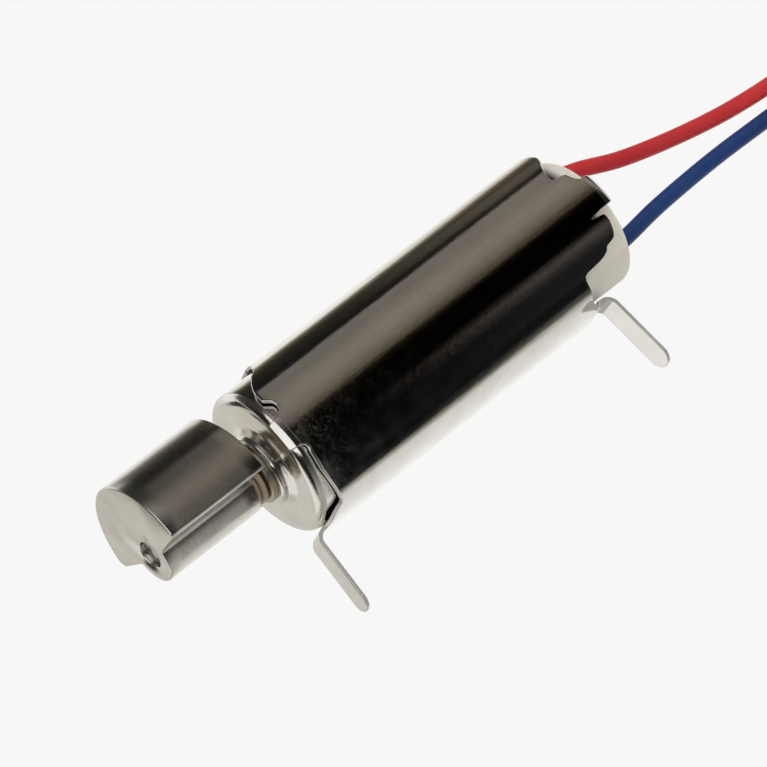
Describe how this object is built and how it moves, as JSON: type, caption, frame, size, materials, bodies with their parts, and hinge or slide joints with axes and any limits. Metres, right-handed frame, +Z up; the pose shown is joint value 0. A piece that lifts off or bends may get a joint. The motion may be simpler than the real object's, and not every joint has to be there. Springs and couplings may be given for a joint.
{
  "type": "cylindrical vibration motor",
  "caption": "Small cylindrical vibration motor: eccentric half-disc weight on the shaft, rolled nickel sleeve with two board legs, cream end cap, red and blue leads.",
  "frame": {"origin": "on the motor axis, in the plane of the can's flat front face (weight end)", "axes": "+X along the motor axis towards the leads, +Z up, away from the board; the two legs point to -Z"},
  "size_m": [0.0255, 0.0044, 0.0065],
  "materials": {
    "nickel_sheet": "bright nickel plate",
    "can_steel": "bright nickel plate",
    "tungsten": "satin, sintered",
    "shaft_steel": "ground",
    "bronze": "sintered, oiled",
    "brass": "drawn",
    "washer": "amber film washer",
    "magnet": "thin plate over sintered magnet",
    "enamel_wire": "enamelled copper wire",
    "moulding": "moulded",
    "gold_copper": "gold flashed",
    "terminal_copper": "tinned phosphor bronze",
    "solder": "bright solder",
    "cream_nylon": "satin moulded",
    "clear_adhesive": "cured, slightly pink",
    "red_pvc": "smooth insulation",
    "blue_pvc": "smooth insulation",
    "tinned_copper": "tinned strand"
  },
  "bodies": {
    "stator": {"motor_can": "can_steel", "front_bearing": "bronze", "bearing_tube": "brass", "rear_bearing": "bronze", "magnet": "magnet", "end_cap": "cream_nylon", "terminal_upper": "terminal_copper", "terminal_lower": "terminal_copper", "brush_upper": "gold_copper", "brush_lower": "gold_copper", "lead_red_jacket": "red_pvc", "lead_red_core": "tinned_copper", "lead_blue_jacket": "blue_pvc", "lead_blue_core": "tinned_copper", "solder_upper": "solder", "solder_lower": "solder", "adhesive_upper": "clear_adhesive", "adhesive_lower": "clear_adhesive", "mounting_bracket": "nickel_sheet"},
    "rotor": {"shaft": "shaft_steel", "eccentric_weight": "tungsten", "winding": "enamel_wire", "winding_hub": "moulding", "commutator": "gold_copper", "coil_joints": "solder", "thrust_washer": "washer", "spacer_washer": "washer", "rear_washer": "washer"}
  },
  "joints": [
    {"name": "rotor_spin", "type": "hinge", "parent": "stator", "child": "rotor", "pos_m": [0, 0, 0], "axis": [1, 0, 0], "continuous": true}
  ]
}
